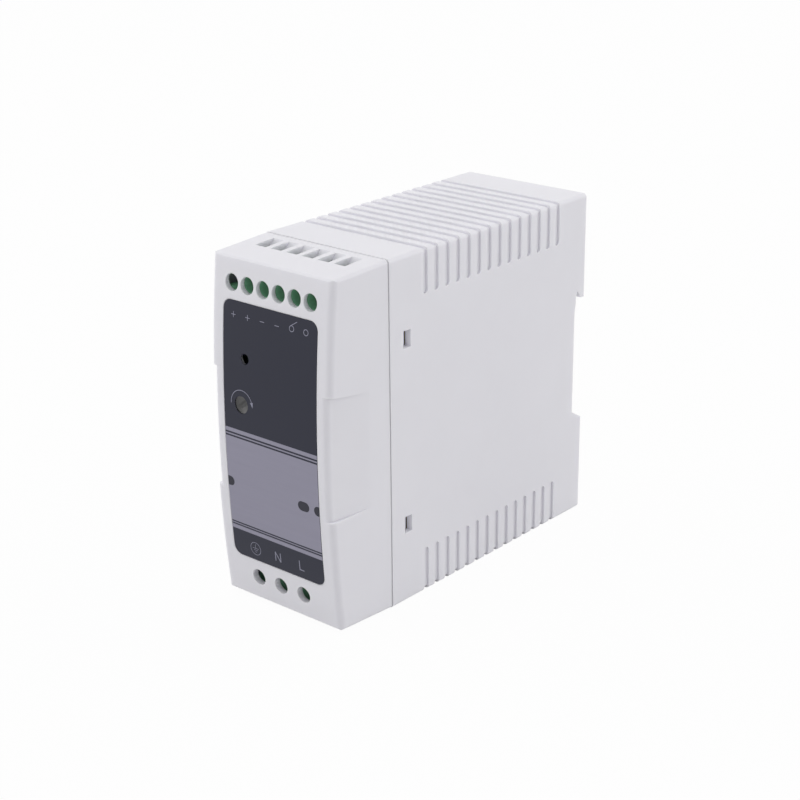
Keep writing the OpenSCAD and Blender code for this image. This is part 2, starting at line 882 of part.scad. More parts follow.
// Clamping cage: a sleeve round the contact bar with a threaded wall for the screw
module terminal_cage(x) {
    half_w = cage_w / 2;
    color(plated)
        translate([x, 0, 0])
            difference() {
                box([-half_w, collar_open, -cage_len / 2], [half_w, cage_back, cage_len / 2]);
                box([-half_w + cage_t, collar_open + collar_t, -cage_len],
                    [half_w - cage_t, jaw_open, cage_len]);
                rod_y(collar_open - over, collar_open + collar_t + over, 0, 0, shank_d / 2 + turn_gap);
            }
}

// Main board: upright in the guides, with a tongue forward to the lamp and trimmer
module main_board() {
    color(board_green) {
        box([board_x - board_t, board_y[0], board_z[0]], [board_x, board_y[1], board_z[1]]);
        box([board_x - board_t, tongue_y, tongue_z[0]], [board_x, board_y[0] + over, tongue_z[1]]);
    }
}

// Terminal board of one row, across the main board's front edge
module terminal_board(poles, pitch) {
    back = block_back + board_t;
    half_w = -board_x + board_t;
    hole = pin_w / 2 + fit_gap;
    top = block_above - 0.3;
    color(board_green)
        difference() {
            box([-half_w, block_back, top - terminal_board_h], [half_w, back, top]);
            for (i = [0:poles - 1])
                translate([pole_x(i, poles, pitch), 0, -pin_drop + pin_w / 2])
                    box([-hole, block_back - over, -hole], [hole, back + over, hole]);
        }
}

// Status lamp and the right-angle holder that carries it on the main board
led_seat_y = front_y + 8.2;
led_tip_y = front_y + wall + 0.9;
led_holder_side = 5.2;
lamp_window_d = led_d + 2;

module status_led() {
    dome_y = led_tip_y + led_d / 2;
    color([0.45, 0.75, 0.45]) {
        translate([led_x, dome_y, led_z])
            sphere(r = led_d / 2);
        rod_y(dome_y, led_seat_y, led_x, led_z, led_d / 2);
        rod_y(led_seat_y - 1, led_seat_y, led_x, led_z, led_d / 2 + 0.4);
    }
}

module led_holder() {
    half = led_holder_side / 2;
    color(black_plastic)
        box([board_x, led_seat_y, led_z - half], [led_x + half, led_seat_y + 4, led_z + half]);
}

// Voltage trimmer: a fixed body on the main board and a slotted rotor
trim_face_y = front_y + wall + 1.8;
rotor_shaft_len = 3;

module trimmer_body() {
    half = trim_side / 2;
    color([0.20, 0.35, 0.60])
        difference() {
            box([board_x, trim_face_y, trim_z - half], [trim_x + half, trim_face_y + 5, trim_z + half]);
            rod_y(trim_face_y - over, trim_face_y + rotor_shaft_len + slack, trim_x, trim_z,
                  rotor_shaft_d / 2 + turn_gap);
        }
}

// Rotor: a dished head close behind the label, cut with a short driver slot
module trimmer_rotor() {
    face_y = bow_y(trim_z + rotor_d / 2) + label_recess + 0.12;
    dish_depth = 0.6;
    dish_r = rotor_d / 2 - 0.1;
    dish_ball = (dish_r * dish_r + dish_depth * dish_depth) / (2 * dish_depth);
    slot_w = 0.5;
    slot_len = 2.8;
    slot_depth = 1.1;
    color([0.75, 0.76, 0.78])
        difference() {
            union() {
                rod_y(face_y, trim_face_y - slack, trim_x, trim_z, rotor_d / 2);
                rod_y(trim_face_y - 2 * slack, trim_face_y + rotor_shaft_len, trim_x, trim_z,
                      rotor_shaft_d / 2);
            }
            translate([trim_x, face_y + dish_depth - dish_ball, trim_z])
                sphere(r = dish_ball);
            box([trim_x - slot_w / 2, face_y - over, trim_z - slot_len / 2],
                [trim_x + slot_w / 2, face_y + slot_depth, trim_z + slot_len / 2]);
        }
}

// Parts on the main board. Each place is [distance behind the board's front edge,
// height above or, for the output side, below the board's edge]. The distances are laid
// out on a board of one length and spread with the length it has.
layout_len = 70.8;
spread = (board_y[1] - board_y[0]) / layout_len;
fuse_d = 8.4;
fuse_h = 8;
fuse_at = [6.5, 9];
thermistor_d = 10;
thermistor_t = 4;
thermistor_lift = 2;
thermistor_at = [14, 9];
x_cap = [15, 8.5, 18];
x_cap_at = [23.5, 12];
choke_r = [5, 9];
choke_h = 8;
choke_wind = 0.8;
choke_gap = 0.1;
choke_at = [40, 12];
bridge = [12, 4, 15];
bridge_at = [8, 25];
bulk_d = 18;
bulk_h = 29;
bulk_at = [60.5, 12.5];
sink_t = 2.5;
sink_len = 46;
sink_h = 25;
sink_start = 21 * spread;
primary_sink_z = 25;
secondary_sink_z = 18;
package_at = 42 * spread;
core = [22, 28, 12];
core_leg = 4;
core_at = [41, 47.5];
core_lift = 5;
output_cap_d = 10;
output_cap_h = 20;
output_cap_pitch = 12;
output_cap_count = 3;
output_cap_at = [8.5, 9];
output_choke_d = 12;
output_choke_h = 16;
output_choke_at = [49, 9];
opto = [3.5, 4.6, 6.5];
opto_at = [21.5, 47];
opto_pitch = 8;
y_cap_d = 9;
y_cap_t = 4;
y_cap_at = [21.5, 37];
chip = [3.5, 6.4, 9.8];
chip_at = [14, 38];
relay = [15.5, 10, 20];
relay_at = [8, 30];
lead_w = 0.6;

// Places a part with its foot on the main board, measured up from the lower edge
module on_board(at) {
    translate([board_x, board_y[0] + at[0] * spread, board_z[0] + at[1]])
        children();
}

// The same, measured down from the upper edge
module on_board_top(at) {
    translate([board_x, board_y[0] + at[0] * spread, board_z[1] - at[1]])
        children();
}

module part_box(size) {
    translate([0, -size.y / 2, -size.z / 2])
        cube(size);
}

// Leads standing on the board, in a row along the height
module leads(count, pitch, h) {
    for (i = [0:count - 1])
        translate([0, -lead_w / 2, (i - (count - 1) / 2) * pitch - lead_w / 2])
            cube([h, lead_w, lead_w]);
}

// Electrolytic can: a sleeve rolled in near the foot and a rim round the top
module can(d, h) {
    roll = d / 18;
    rotate([0, 90, 0])
        rotate_extrude()
            polygon([
                [0, 0],
                [d / 2, 0],
                [d / 2, h * 0.08],
                [d / 2 - roll, h * 0.11],
                [d / 2, h * 0.14],
                [d / 2, h - roll],
                [d / 2 - roll, h],
                [d / 2 - 2 * roll, h],
                [d / 2 - 2 * roll, h - roll / 2],
                [0, h - roll / 2]
            ]);
}

// Standing disc with two leads
module disc_part(d, t, lift) {
    edge = t / 4;
    translate([lift + d / 2, 0, 0])
        rotate([90, 0, 0])
            translate([0, 0, -t / 2])
                rotate_extrude()
                    polygon([
                        [0, 0],
                        [d / 2 - edge, 0],
                        [d / 2, edge],
                        [d / 2, t - edge],
                        [d / 2 - edge, t],
                        [0, t]
                    ]);
    leads(2, d / 2, lift + d / 4);
}

module fuse() {
    color(black_plastic)
        on_board(fuse_at)
            rotate([0, 90, 0])
                cylinder(d = fuse_d, h = fuse_h);
}

module inrush_thermistor() {
    color([0.15, 0.22, 0.16])
        on_board(thermistor_at)
            disc_part(thermistor_d, thermistor_t, thermistor_lift);
}

module x_capacitor() {
    color([0.85, 0.68, 0.15])
        on_board(x_cap_at)
            part_box(x_cap);
}

// Line choke: a ring core lying on its two windings
module choke_ring(r0, r1, x0, x1) {
    translate([x0, 0, 0])
        rotate([0, 90, 0])
            difference() {
                cylinder(r = r1, h = x1 - x0);
                translate([0, 0, -over])
                    cylinder(r = r0, h = x1 - x0 + 2 * over);
            }
}

module line_choke_core() {
    color(ferrite)
        on_board(choke_at)
            choke_ring(choke_r[0], choke_r[1], choke_wind, choke_wind + choke_h);
}

module line_choke_winding() {
    gap = 5;
    color(copper)
        on_board(choke_at)
            difference() {
                choke_ring(choke_r[0] - choke_wind, choke_r[1] + choke_wind, 0,
                           choke_h + 2 * choke_wind);
                choke_ring(choke_r[0] - choke_gap, choke_r[1] + choke_gap, choke_wind - choke_gap,
                           choke_wind + choke_h + choke_gap);
                box([-over, -gap / 2, -2 * choke_r[1]], [choke_h + 3 * over, gap / 2, 2 * choke_r[1]]);
            }
}

module bridge_rectifier() {
    lift = 2;
    color(black_plastic)
        on_board(bridge_at) {
            translate([lift, 0, 0])
                part_box(bridge);
            leads(4, bridge.z / 4, lift + 1);
        }
}

module bulk_capacitor() {
    color([0.12, 0.14, 0.22])
        on_board(bulk_at)
            can(bulk_d, bulk_h);
}

// Heat sink: a plate on edge on the board, drilled for its package's screw
sink_hole_x = 18.6;
screw_r = 1.45;

module heat_sink() {
    color(aluminium)
        difference() {
            translate([0, sink_start, -sink_t])
                cube([sink_h, sink_len, sink_t]);
            translate([sink_hole_x, package_at, -sink_t - over])
                cylinder(r = screw_r + seat_gap, h = sink_t + 2 * over);
        }
}

// Three-lead power package lying on a heat sink's face
package_w = 10;
package_t = 4.5;
tab_sheet = 1.3;

module power_package() {
    foot = 6;
    mould = 9;
    tab_len = 6.4;
    lead_z = 2.4;
    color(black_plastic)
        translate([0, package_at, 0]) {
            translate([foot, -package_w / 2, 0])
                cube([mould, package_w, package_t]);
            difference() {
                translate([foot + mould - over, -package_w / 2, 0])
                    cube([tab_len + over, package_w, tab_sheet]);
                translate([sink_hole_x, 0, -over])
                    cylinder(r = screw_r + 0.3, h = tab_sheet + 2 * over);
            }
            for (i = [-1, 0, 1])
                translate([0, i * 2.54 - lead_w / 2, lead_z])
                    cube([foot + over, lead_w, lead_w]);
        }
}

module package_screw() {
    head_r = 2.7;
    head_t = 2;
    translate([sink_hole_x, package_at, 0]) {
        translate([0, 0, -sink_t])
            cylinder(r = screw_r, h = sink_t + tab_sheet + over);
        translate([0, 0, tab_sheet])
            cylinder(r = head_r, h = head_t);
    }
}

// The primary sink faces up; the secondary one faces down
module at_primary_sink() {
    on_board([0, primary_sink_z])
        translate([0, 0, sink_t])
            children();
}

module at_secondary_sink() {
    on_board_top([0, secondary_sink_z])
        mirror([0, 0, 1])
            children();
}

module primary_heat_sink() {
    at_primary_sink()
        heat_sink();
}

module switching_transistor() {
    at_primary_sink()
        power_package();
}

module secondary_heat_sink() {
    at_secondary_sink()
        heat_sink();
}

module output_rectifier() {
    at_secondary_sink()
        power_package();
}

module heat_sink_screws() {
    color(plated) {
        at_primary_sink()
            package_screw();
        at_secondary_sink()
            package_screw();
    }
}

// Transformer: an E-core pair round a bobbin whose pin rails stand on the board
core_leg_w = 2 * core_leg;
core_window = [core.x - 2 * (core_leg - 1), core.y / 2 - core_leg - core_leg_w / 2];
bobbin_t = 0.8;
bobbin_gap = 0.15;
winding_h = core_window.y - 2 * bobbin_gap - bobbin_t - 0.4;

module transformer_core() {
    yoke = core_leg - 1;
    color(ferrite)
        on_board(core_at)
            translate([core_lift, 0, 0])
                difference() {
                    part_box(core);
                    for (side = [-1, 1])
                        translate([yoke, side * (core_leg_w / 2 + core_window.y / 2), 0])
                            translate([0, -core_window.y / 2, -core.z])
                                cube([core_window.x, core_window.y, 2 * core.z]);
                }
}

// Sleeve along the centre leg with a given outer growth, between two stations along X
module leg_sleeve(x0, x1, grow_in, grow_out) {
    along_x(x0, x1)
        difference() {
            square([core_leg_w + 2 * grow_out, core.z + 2 * grow_out], center = true);
            square([core_leg_w + 2 * grow_in, core.z + 2 * grow_in], center = true);
        }
}

module transformer_bobbin() {
    x0 = core_lift + core_leg - 1 + bobbin_gap;
    x1 = core_lift + core.x - core_leg + 1 - bobbin_gap;
    flange = core_window.y - bobbin_gap;
    rail_in = core.z / 2 + bobbin_gap;
    rail_out = core.z / 2 + flange;
    rail_half = core_leg_w / 2 + flange;
    color(black_plastic)
        on_board(core_at) {
            leg_sleeve(x0, x1, bobbin_gap, bobbin_gap + bobbin_t);
            leg_sleeve(x0, x0 + 1, bobbin_gap, flange);
            leg_sleeve(x1 - 1, x1, bobbin_gap, flange);
            for (side = [0, 1])
                mirror([0, 0, side])
                    box([0, -rail_half, rail_in], [x0 + 1, rail_half, rail_out]);
        }
}

module transformer_winding() {
    x0 = core_lift + core_leg + bobbin_gap + 0.1;
    x1 = core_lift + core.x - core_leg - bobbin_gap - 0.1;
    inner = 2 * bobbin_gap + bobbin_t;
    color([0.85, 0.75, 0.25])
        on_board(core_at)
            leg_sleeve(x0, x1, inner, inner + winding_h);
}

module output_capacitors() {
    color([0.12, 0.14, 0.22])
        for (i = [0:output_cap_count - 1])
            on_board_top(output_cap_at + [i * output_cap_pitch, 0])
                can(output_cap_d, output_cap_h);
}

// Output choke: a drum core with its winding between two flanges
module output_choke() {
    flange = 2;
    waist = 0.8;
    color(copper)
        on_board_top(output_choke_at)
            rotate([0, 90, 0])
                rotate_extrude()
                    polygon([
                        [0, 0],
                        [output_choke_d / 2, 0],
                        [output_choke_d / 2, flange],
                        [output_choke_d / 2 - waist, flange],
                        [output_choke_d / 2 - waist, output_choke_h - flange],
                        [output_choke_d / 2, output_choke_h - flange],
                        [output_choke_d / 2, output_choke_h],
                        [0, output_choke_h]
                    ]);
}

module optocouplers() {
    color([0.93, 0.93, 0.90])
        for (i = [0, 1])
            on_board(opto_at + [0, i * opto_pitch])
                part_box(opto);
}

module y_capacitor() {
    color([0.20, 0.40, 0.70])
        on_board(y_cap_at)
            disc_part(y_cap_d, y_cap_t, 1.5);
}

module controller_chip() {
    color(black_plastic)
        on_board(chip_at)
            part_box(chip);
}

module dc_ok_relay() {
    color([0.15, 0.30, 0.55])
        on_board_top(relay_at)
            part_box(relay);
}

rear_housing();
front_cover();
front_label();
din_latch();
latch_spring();
at_output() terminal_body(out_poles, out_pitch, output_front, output_rib);  // output_terminal_body
at_output() contact_bars(out_poles, out_pitch);  // output_contact_bars
at_input() terminal_body(in_poles, in_pitch, input_front, input_front);  // input_terminal_body
at_input() contact_bars(in_poles, in_pitch);  // input_contact_bars
for (i = [1:out_poles]) {
    x = pole_x(i - 1, out_poles, out_pitch);
    at_output() terminal_screw(x);
    at_output() terminal_cage(x);
}
for (i = [1:in_poles]) {
    x = pole_x(i - 1, in_poles, in_pitch);
    at_input() terminal_screw(x);
    at_input() terminal_cage(x);
}
main_board();
at_output() terminal_board(out_poles, out_pitch);  // output_board
at_input() terminal_board(in_poles, in_pitch);  // input_board
status_led();
led_holder();
trimmer_body();
trimmer_rotor();
fuse();
inrush_thermistor();
x_capacitor();
line_choke_core();
line_choke_winding();
bridge_rectifier();
bulk_capacitor();
primary_heat_sink();
switching_transistor();
transformer_core();
transformer_bobbin();
transformer_winding();
secondary_heat_sink();
output_rectifier();
heat_sink_screws();
output_capacitors();
output_choke();
optocouplers();
y_capacitor();
controller_chip();
dc_ok_relay();
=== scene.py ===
"""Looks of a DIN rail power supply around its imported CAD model, in metres.

The file follows the unit as it is put together: housing, latch, boards, terminals, front cover,
label, and then the place where it stands."""

import bpy
import numpy as np
from mathutils import Matrix, Vector


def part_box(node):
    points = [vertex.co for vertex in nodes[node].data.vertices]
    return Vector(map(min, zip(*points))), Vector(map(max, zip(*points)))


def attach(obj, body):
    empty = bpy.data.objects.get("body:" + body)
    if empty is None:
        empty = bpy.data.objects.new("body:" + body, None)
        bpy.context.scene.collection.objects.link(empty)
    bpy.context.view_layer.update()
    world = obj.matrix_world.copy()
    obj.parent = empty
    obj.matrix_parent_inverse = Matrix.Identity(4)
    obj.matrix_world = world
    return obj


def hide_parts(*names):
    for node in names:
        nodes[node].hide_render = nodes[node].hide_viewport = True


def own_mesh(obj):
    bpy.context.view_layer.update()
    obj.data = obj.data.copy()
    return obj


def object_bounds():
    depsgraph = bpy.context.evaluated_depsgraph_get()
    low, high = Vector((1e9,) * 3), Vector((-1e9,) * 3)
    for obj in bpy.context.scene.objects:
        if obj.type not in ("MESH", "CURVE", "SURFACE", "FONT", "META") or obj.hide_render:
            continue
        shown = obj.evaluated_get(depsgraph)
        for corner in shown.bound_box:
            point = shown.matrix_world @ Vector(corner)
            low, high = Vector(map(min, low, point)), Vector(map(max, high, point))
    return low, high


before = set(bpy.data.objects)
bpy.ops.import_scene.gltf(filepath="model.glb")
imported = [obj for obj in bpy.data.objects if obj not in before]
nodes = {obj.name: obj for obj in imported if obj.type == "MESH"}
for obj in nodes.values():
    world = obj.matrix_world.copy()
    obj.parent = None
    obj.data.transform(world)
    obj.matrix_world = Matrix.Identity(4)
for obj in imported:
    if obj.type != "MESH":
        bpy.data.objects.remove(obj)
cad_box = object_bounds()

# Rear housing
# A box moulded in white flame-retardant plastic, with vent grooves pressed into its long edges.
# Its skin is the fine matt of a spark-eroded mould, a little uneven where the plastic cooled last.
MM = 0.001


class Wire:
    """An output socket of a material. Arithmetic on it adds Math nodes to that material."""

    def __init__(self, finish, socket):
        self.finish = finish
        self.socket = socket

    def math(self, operation, first, second):
        return self.finish.node("ShaderNodeMath", {"operation": operation}, {0: first, 1: second})

    def __add__(self, other):
        return self.math("ADD", self, other)

    def __sub__(self, other):
        return self.math("SUBTRACT", self, other)

    def __rsub__(self, other):
        return self.math("SUBTRACT", other, self)

    def __mul__(self, other):
        return self.math("MULTIPLY", self, other)

    def __gt__(self, other):
        return self.math("GREATER_THAN", self, other)

    __radd__ = __add__
    __rmul__ = __mul__


class Nodes:
    """The nodes of a material or of the world."""

    def __init__(self, tree):
        self.tree = tree

    def node(self, kind, settings, sockets, out=0):
        """Adds a node of this kind: first its settings, then its sockets' values or links.
        Returns the wire of one of its outputs."""
        made = self.tree.nodes.new(kind)
        for name, value in settings.items():
            setattr(made, name, value)
        for name, value in sockets.items():
            if isinstance(value, Wire):
                self.tree.links.new(value.socket, made.inputs[name])
            else:
                made.inputs[name].default_value = value
        return Wire(self, made.outputs[out])


class Finish(Nodes):
    """A material being made. Even values go straight onto its Principled shader, and what changes
    over the surface comes from nodes that read Object coordinates."""

    def __init__(self, name, even):
        self.material = bpy.data.materials.new(name)
        self.material.use_nodes = True
        super().__init__(self.material.node_tree)
        self.shader = self.tree.nodes["Principled BSDF"]
        for socket, value in even.items():
            self.shader.inputs[socket].default_value = value
        self.place = self.node("ShaderNodeTexCoord", {}, {}, "Object")

    def noise(self, size, detail=2.0):
        """Noise from 0 to 1 whose lumps are about this many metres across."""
        return self.node("ShaderNodeTexNoise", {},
                         {"Vector": self.place, "Scale": 1 / size, "Detail": detail})

    def mix(self, share, first, second):
        """The colour that lies this share of the way from the first to the second."""
        return self.node("ShaderNodeMix", {"data_type": "RGBA"}, {0: share, 6: first, 7: second}, 2)

    def bump(self, height, depth):
        """A normal raised by a height from 0 to 1, which stands for this many metres."""
        return self.node("ShaderNodeBump", {}, {"Height": height, "Distance": depth, "Strength": 1.0})

    def vary(self, socket, wire):
        self.tree.links.new(wire.socket, self.shader.inputs[socket])


def shade(colour, factor):
    """The colour made lighter or darker by a factor, as four channels."""
    return (*(min(1.0, c * factor) for c in colour), 1.0)


def moulded(name, colour, roughness, grain=0.25 * MM, relief=0.012 * MM, glow=0.0):
    """Moulded plastic: a fine grain over slow waves, with the gloss and tint a little uneven. Pale
    plastic lets light a little way in, by the share that glow gives."""
    finish = Finish(name, {"IOR": 1.5, "Subsurface Weight": glow, "Subsurface Radius": (1.0, 1.0, 1.0),
                           "Subsurface Scale": 1.0 * MM})
    cloud = finish.noise(14 * MM, 3.0)
    skin = finish.noise(grain, 3.0)
    finish.vary("Base Color", finish.mix(cloud, shade(colour, 0.975), shade(colour, 1.02)))
    finish.vary("Roughness", roughness - 0.06 + 0.08 * cloud + 0.05 * skin)
    finish.vary("Normal", finish.bump(skin + 0.4 * cloud, relief))
    return finish.material


def coat(material, *names):
    """Gives CAD nodes this material in place of the one they were packed with."""
    for name in names:
        mesh = nodes[name].data
        mesh.materials.clear()
        mesh.materials.append(material)


shell_white = (0.793, 0.786, 0.829)
shell_plastic = moulded("shell_plastic", shell_white, 0.5, glow=0.65)
coat(shell_plastic, "rear_housing")

# Rail latch
# A black plastic slide in a channel at the rear, pulled down with a screwdriver to free the rail.
# It is moulded in a tougher plastic than the shell, with a satin skin.
coat(moulded("latch_plastic", (0.03, 0.03, 0.033), 0.4, 0.3 * MM, 0.03 * MM), "din_latch")


# Latch spring
# A coil of bright spring wire that stands on the stop tab and pushes the latch up onto the rail.
# The real coil shortens as the latch is pulled down; this one is made at its rest length and stays with
# the housing.
def metal(name, colour, roughness, streak=(0.15 * MM, 4 * MM, 0.15 * MM), relief=0.004 * MM):
    """Drawn, rolled or plated metal: fine streaks along the way it was worked, and a few dull spots."""
    finish = Finish(name, {"Metallic": 1.0})
    stretch = finish.node("ShaderNodeMapping", {},
                          {"Vector": finish.place, "Scale": [1 / s for s in streak]})
    lines = finish.node("ShaderNodeTexNoise", {}, {"Vector": stretch, "Scale": 1.0, "Detail": 3.0})
    dull = finish.noise(3 * MM, 3.0)
    finish.vary("Base Color", finish.mix(dull, shade(colour, 0.9), shade(colour, 1.05)))
    finish.vary("Roughness", roughness - 0.05 + 0.12 * dull + 0.06 * lines)
    finish.vary("Normal", finish.bump(lines, relief))
    return finish.material


def mesh_piece(name, points, faces, material, smooth=True):
    """A new piece from an array of points in metres and an array of faces, facing outwards."""
    mesh = bpy.data.meshes.new(name)
    mesh.from_pydata(points.tolist(), [], list(faces))
    mesh.polygons.foreach_set("use_smooth", np.full(len(mesh.polygons), smooth))
    mesh.materials.append(material)
    mesh.update()
    piece = bpy.data.objects.new(name, mesh)
    bpy.context.scene.collection.objects.link(piece)
    return piece


def ring_faces(count, sides):
    """Quads between neighbouring rings of points, and at each end a fan of triangles to one of the
    two middle points that follow the rings."""
    ring, step = np.meshgrid(np.arange(count - 1), np.arange(sides), indexing="ij")
    start, following = ring * sides + step, ring * sides + (step + 1) % sides
    walls = np.stack([start, following, following + sides, start + sides], -1).reshape(-1, 4)
    step, after = np.arange(sides), (np.arange(sides) + 1) % sides
    last, middle = (count - 1) * sides, count * sides
    fans = [np.stack([after, step, np.full(sides, middle)], -1),
            np.stack([last + step, last + after, np.full(sides, middle + 1)], -1)]
    return [*walls.tolist(), *np.concatenate(fans).tolist()]


def tube(path, radius, sides):
    """A round tube: a circle of the radius carried along the path, square to it, with a disc at
    each end. Returns its points and faces."""
    along = np.gradient(path, axis=0)
    along /= np.linalg.norm(along, axis=1, keepdims=True)
    out = path * (1, 1, 0)
    out -= (out * along).sum(1, keepdims=True) * along
    out /= np.linalg.norm(out, axis=1, keepdims=True)
    side = np.cross(along, out)
    turn = np.linspace(0, 2 * np.pi, sides, endpoint=False)[None, :, None]
    rings = path[:, None] + radius * (np.cos(turn) * out[:, None] + np.sin(turn) * side[:, None])
    points = np.concatenate([rings.reshape(-1, 3), path[:1], path[-1:]])
    return points, ring_faces(len(path), sides)


wire_d = 0.5 * MM
spring_turns = 8
spring_low, spring_high = (np.array(corner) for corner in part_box("latch_spring"))
spring_axis = (spring_low + spring_high) / 2
coil_r = (spring_high[1] - spring_low[1] - wire_d) / 2
turn = np.linspace(0, 2 * np.pi * spring_turns, 24 * spring_turns + 1)
climb = np.linspace(spring_low[2] + wire_d / 2, spring_high[2] - wire_d / 2, len(turn))
coil = np.stack([coil_r * np.cos(turn), coil_r * np.sin(turn), climb], -1)
points, faces = tube(coil, wire_d / 2, 10)
points += spring_axis * (1, 1, 0)
spring = mesh_piece("latch_spring_coil", points, faces,
                    metal("spring_wire", (0.55, 0.55, 0.56), 0.32, (4 * MM, 4 * MM, 0.1 * MM)))
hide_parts("latch_spring")
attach(spring, "housing")
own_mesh(spring)


# Boards
# Green glass laminate under a glossy solder mask: one main board on edge in the housing's guides,
# and a small one across its front for each row of terminals. Copper areas show through the mask.
def laminate(name, mask, copper):
    """Solder mask over copper: lighter islands with dark gaps between them, under a thin gloss."""
    finish = Finish(name, {"IOR": 1.5, "Coat Weight": 0.4, "Coat Roughness": 0.15})
    gaps = finish.node("ShaderNodeTexVoronoi", {"feature": "DISTANCE_TO_EDGE"},
                       {"Vector": finish.place, "Scale": 1 / (5 * MM)})
    island = gaps > 0.06
    finish.vary("Base Color", finish.mix(island, shade(mask, 1), shade(copper, 1)))
    finish.vary("Roughness", 0.3 + 0.1 * finish.noise(1.5 * MM))
    finish.vary("Normal", finish.bump(island, 0.03 * MM))
    return finish.material


coat(laminate("board_laminate", (0.015, 0.06, 0.025), (0.03, 0.115, 0.045)),
     "main_board", "output_board", "input_board")

# Parts on the main board
# What turns the mains into the output: fuse, filters, rectifiers, transformer, capacitors and relay.
# Moulded bodies, bare and sleeved aluminium, ferrite, tape and enamelled wire, soldered to the board.
black_body = moulded("black_body", (0.018, 0.018, 0.02), 0.38, relief=0.006 * MM)
coat(black_body, "fuse", "bridge_rectifier", "switching_transistor", "transformer_bobbin",
     "output_rectifier", "controller_chip", "led_holder")
coat(moulded("thermistor_lacquer", (0.02, 0.035, 0.022), 0.3), "inrush_thermistor")
coat(moulded("disc_lacquer", (0.03, 0.12, 0.36), 0.25), "y_capacitor")
coat(moulded("film_box", (0.55, 0.36, 0.03), 0.3, relief=0.005 * MM), "x_capacitor")
coat(moulded("ferrite", (0.03, 0.03, 0.033), 0.6, 0.12 * MM, 0.02 * MM),
     "line_choke_core", "transformer_core")
coat(moulded("winding_tape", (0.62, 0.42, 0.04), 0.25, 2 * MM, 0.02 * MM), "transformer_winding")
coat(moulded("can_sleeve", (0.02, 0.026, 0.075), 0.22, relief=0.004 * MM),
     "bulk_capacitor", "output_capacitors")
coat(moulded("coupler_body", (0.72, 0.72, 0.66), 0.45), "optocouplers")
coat(moulded("relay_case", (0.03, 0.085, 0.26), 0.3), "dc_ok_relay")
coat(metal("sink_aluminium", (0.72, 0.73, 0.74), 0.35), "primary_heat_sink", "secondary_heat_sink")
coat(metal("enamelled_wire", (0.50, 0.19, 0.06), 0.3, (0.8 * MM, 6 * MM, 0.8 * MM), 0.05 * MM),
     "line_choke_winding", "output_choke")

# Lamp and trimmer
# A clear green lamp in a right-angle holder, and the blue body of a trimmer beside it on the main
# board. Both show through holes in the label.
lens = Finish("lamp_lens", {"IOR": 1.5, "Transmission Weight": 0.3, "Roughness": 0.12})
lens.vary("Base Color", lens.mix(lens.noise(2 * MM), (0.10, 0.42, 0.14, 1.0), (0.16, 0.52, 0.20, 1.0)))
coat(lens.material, "status_led")
coat(moulded("trimmer_case", (0.03, 0.10, 0.32), 0.35), "trimmer_body")


# Trimmer rotor
# The trimmer's grey plastic rotor, turned with a small screwdriver. Its dished head lies close behind
# the label and has a worn driver slot with soft sides, and its shaft runs in the trimmer's body.
def soft_step(far, near, off):
    """1 up to the distance near, 0 from the distance off, and half a cosine wave between them."""
    return 0.5 + 0.5 * np.cos(np.pi * np.clip((far - near) / (off - near), 0, 1))


rotor_low, rotor_high = (np.array(corner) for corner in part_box("trimmer_rotor"))
rotor_axis = (rotor_low + rotor_high) / 2
head_r = (rotor_high[0] - rotor_low[0]) / 2
shaft_r = 1.5 * MM
shaft_length = 3.1 * MM
rim = 0.1 * MM
dish_depth = 0.6 * MM
slot_depth = 0.34 * MM
slot_half_w = 0.85 * MM
slot_full, slot_end = 1.2 * MM, 2.2 * MM
slot_lean = np.radians(38)
crease = np.radians(40)


def rotor(sides=72, face_rings=36):
    """A turned shape: rings widen from the middle of the head to its rim, run back along its side, in
    to the shaft and along it. The head sinks by a parabola of the radius, and by the slot's depth
    times one soft step across the slot and one along it."""
    head_back = rotor_high[1] - shaft_length
    face_r = np.linspace(0.01, 1, face_rings) * head_r
    radius = np.append(face_r, [head_r, shaft_r, shaft_r])[:, None]
    y = np.append(np.full(face_rings, rotor_low[1]), [head_back, head_back, rotor_high[1]])[:, None]
    angle = np.linspace(0, 2 * np.pi, sides, endpoint=False)
    x, z = radius * np.cos(angle), -radius * np.sin(angle)
    along = np.abs(x * np.cos(slot_lean) + z * np.sin(slot_lean))
    across = np.abs(z * np.cos(slot_lean) - x * np.sin(slot_lean))
    slot = soft_step(across, 0, slot_half_w) * soft_step(along, slot_full, slot_end)
    sink = dish_depth * np.clip(1 - (radius / (head_r - rim)) ** 2, 0, None) + slot_depth * slot
    sink[face_rings:] = 0
    rings = np.stack([rotor_axis[0] + x, y + sink, rotor_axis[2] + z], -1)
    points = np.concatenate([rings.reshape(-1, 3), rings[:1].mean(1), rings[-1:].mean(1)])
    return points, ring_faces(len(radius), sides)


rotor_plastic = moulded("trimmer_rotor_plastic", (0.085, 0.084, 0.085), 0.42, 0.2 * MM, 0.02 * MM)
trimmer_head = mesh_piece("trimmer_head", *rotor(), rotor_plastic)
trimmer_head.data.set_sharp_from_angle(angle=crease)
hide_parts("trimmer_rotor")
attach(trimmer_head, "rotor")

# Screw terminals
# Green moulded blocks. In each pole a zinc-plated screw draws a plated steel cage up round a tinned
# bar, and the wire is held between the bar and the cage.
outputs = [f"output_{kind}_{i}" for kind in ("screw", "cage") for i in range(1, 7)]
inputs = [f"input_{kind}_{i}" for kind in ("screw", "cage") for i in range(1, 4)]
coat(moulded("terminal_plastic", (0.2, 0.45, 0.28), 0.45), "output_terminal_body", "input_terminal_body")
coat(metal("zinc_plate", (0.66, 0.66, 0.64), 0.3), *outputs, *inputs, "heat_sink_screws")
coat(metal("tin_plate", (0.62, 0.59, 0.52), 0.35), "output_contact_bars", "input_contact_bars")

# Front cover
# The bowed front, moulded in the same white plastic as the housing. Its lip slides into the housing
# behind the seam, and four tongues on it snap into the housing's windows.
coat(shell_plastic, "front_cover")

